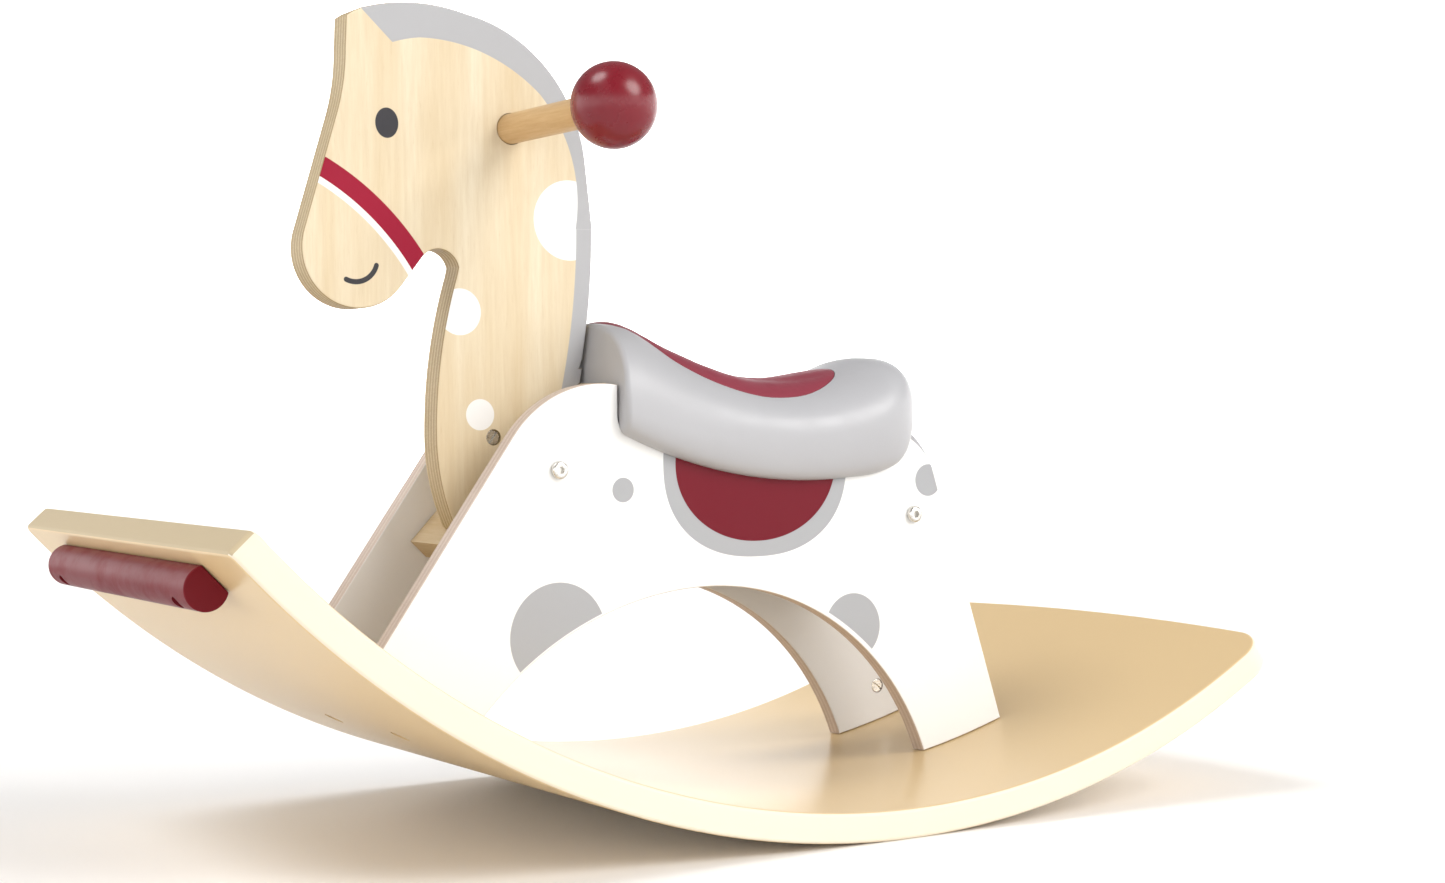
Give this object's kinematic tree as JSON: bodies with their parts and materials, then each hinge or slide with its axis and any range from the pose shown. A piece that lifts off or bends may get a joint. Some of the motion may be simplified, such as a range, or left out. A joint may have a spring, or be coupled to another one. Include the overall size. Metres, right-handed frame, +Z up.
{
  "type": "wooden rocking horse",
  "caption": "Plywood rocking horse on a curved rocker board, with a moulded saddle, a flat painted head and a cross handle with round knobs.",
  "frame": {"origin": "bottom centre of the whole object's box, on the floor", "axes": "the horse faces -Y, +X is its own left, +Z is up"},
  "size_m": [0.346, 0.7118, 0.4841],
  "materials": {
    "plywood": "birch plywood under clear satin lacquer",
    "rocker_plywood": "bent birch plywood under clear satin lacquer",
    "white_lacquer": "satin off-white paint on plywood",
    "cross_wood": "raw plywood, sanded",
    "beech": "turned beech, clear satin lacquer",
    "red_lacquer": "deep red gloss lacquer on turned wood",
    "bumper_red": "dark red satin paint on turned wood",
    "saddle_shell": "satin light grey moulding",
    "pad": "soft dusty rose foam, smooth skin",
    "nickel_steel": "bright nickel-plated steel"
  },
  "bodies": {
    "root": {"batten_front_dowel_left": "beech", "batten_front_dowel_right": "beech", "batten_rear_dowel_left": "beech", "batten_rear_dowel_right": "beech", "brace_dowel_left": "beech", "brace_dowel_right": "beech", "bumper_screw_left": "nickel_steel", "bumper_screw_right": "nickel_steel", "front_bumper": "bumper_red", "handle_ball_left": "red_lacquer", "handle_ball_right": "red_lacquer", "handle_bar": "beech", "head_panel": "plywood", "leg_bolt_front_left": "nickel_steel", "leg_bolt_front_right": "nickel_steel", "leg_bolt_rear_left": "nickel_steel", "leg_bolt_rear_right": "nickel_steel", "leg_nut_front_left": "nickel_steel", "leg_nut_front_right": "nickel_steel", "leg_nut_rear_left": "nickel_steel", "leg_nut_rear_right": "nickel_steel", "neck_bolt": "nickel_steel", "neck_dowel_lower": "beech", "neck_dowel_upper": "beech", "neck_nut": "nickel_steel", "neck_rest": "cross_wood", "panel_bolt_front_left": "nickel_steel", "panel_bolt_front_right": "nickel_steel", "panel_bolt_rear_left": "nickel_steel", "panel_bolt_rear_right": "nickel_steel", "panel_nut_front_left": "nickel_steel", "panel_nut_front_right": "nickel_steel", "panel_nut_rear_left": "nickel_steel", "panel_nut_rear_right": "nickel_steel", "rear_brace": "cross_wood", "rest_dowel_left": "beech", "rest_dowel_right": "beech", "rocker_board": "rocker_plywood", "saddle_batten_front": "cross_wood", "saddle_batten_rear": "cross_wood", "saddle_pad": "pad", "saddle_screw_front_left": "nickel_steel", "saddle_screw_front_right": "nickel_steel", "saddle_screw_rear_left": "nickel_steel", "saddle_screw_rear_right": "nickel_steel", "saddle_shell": "saddle_shell", "side_panel_left": "white_lacquer", "side_panel_right": "white_lacquer"}
  },
  "joints": []
}
